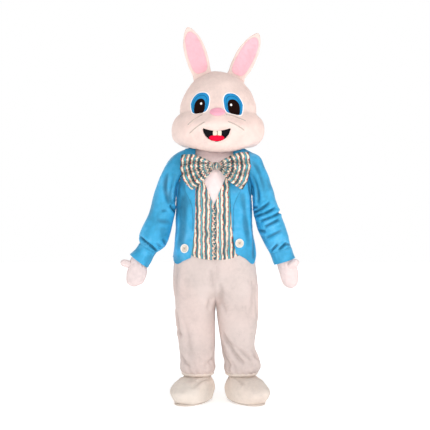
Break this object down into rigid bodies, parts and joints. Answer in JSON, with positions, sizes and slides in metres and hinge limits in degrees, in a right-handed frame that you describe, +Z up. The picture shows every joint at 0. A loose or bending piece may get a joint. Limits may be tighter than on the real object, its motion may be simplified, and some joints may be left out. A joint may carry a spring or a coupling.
{
  "type": "rabbit mascot costume",
  "caption": "Hollow rabbit mascot costume as worn: plush head with long ears, jacket, striped waistcoat and bow, plush trousers, mitts and foot covers.",
  "frame": {"origin": "midway between the shoulders at their height, 1.36 m above the soles, where the wearer's shoulders carry the costume", "axes": "+Z up; -Y the way the costume faces; +X towards the wearer's left"},
  "size_m": [0.9713, 0.4656, 2.05],
  "materials": {
    "white_plush": "short-pile plush, matt",
    "pink_plush": "short-pile plush, matt",
    "blue_cloth": "smooth woven cloth with a faint sheen",
    "striped_satin": "satin",
    "eye_blue": "felt",
    "black_cloth": "felt",
    "red_cloth": "felt",
    "tooth_cloth": "felt",
    "button_cream": "polished",
    "sole_foam": "cloth-covered foam, matt"
  },
  "bodies": {
    "root": {"bow_knot": "striped_satin", "bow_wing_left": "striped_satin", "bow_wing_right": "striped_satin", "button_left": "button_cream", "button_right": "button_cream", "chest_piece": "white_plush", "ear_left": "white_plush", "ear_lining_left": "pink_plush", "ear_lining_right": "pink_plush", "ear_right": "white_plush", "eye_glint_left": "tooth_cloth", "eye_glint_right": "tooth_cloth", "eye_patch_left": "eye_blue", "eye_patch_right": "eye_blue", "eye_pupil_left": "black_cloth", "eye_pupil_right": "black_cloth", "foot_sole_left": "sole_foam", "foot_sole_right": "sole_foam", "foot_upper_left": "white_plush", "foot_upper_right": "white_plush", "head_back_left": "white_plush", "head_back_right": "white_plush", "head_face": "white_plush", "head_muzzle": "white_plush", "head_neck_skirt": "white_plush", "jacket_back": "blue_cloth", "jacket_front_left": "blue_cloth", "jacket_front_right": "blue_cloth", "jacket_lapel_left": "blue_cloth", "jacket_lapel_right": "blue_cloth", "mitt_hand_left": "white_plush", "mitt_hand_right": "white_plush", "mitt_thumb_left": "white_plush", "mitt_thumb_right": "white_plush", "mouth_lining": "black_cloth", "nose": "pink_plush", "sleeve_cuff_left": "blue_cloth", "sleeve_cuff_right": "blue_cloth", "sleeve_left": "blue_cloth", "sleeve_right": "blue_cloth", "tongue": "red_cloth", "tooth_left": "tooth_cloth", "tooth_right": "tooth_cloth", "trousers_back_left": "white_plush", "trousers_back_right": "white_plush", "trousers_band_left": "white_plush", "trousers_band_right": "white_plush", "trousers_front_left": "white_plush", "trousers_front_right": "white_plush", "waistcoat_front_left": "striped_satin", "waistcoat_front_right": "striped_satin", "waistcoat_placket": "striped_satin"}
  },
  "joints": []
}
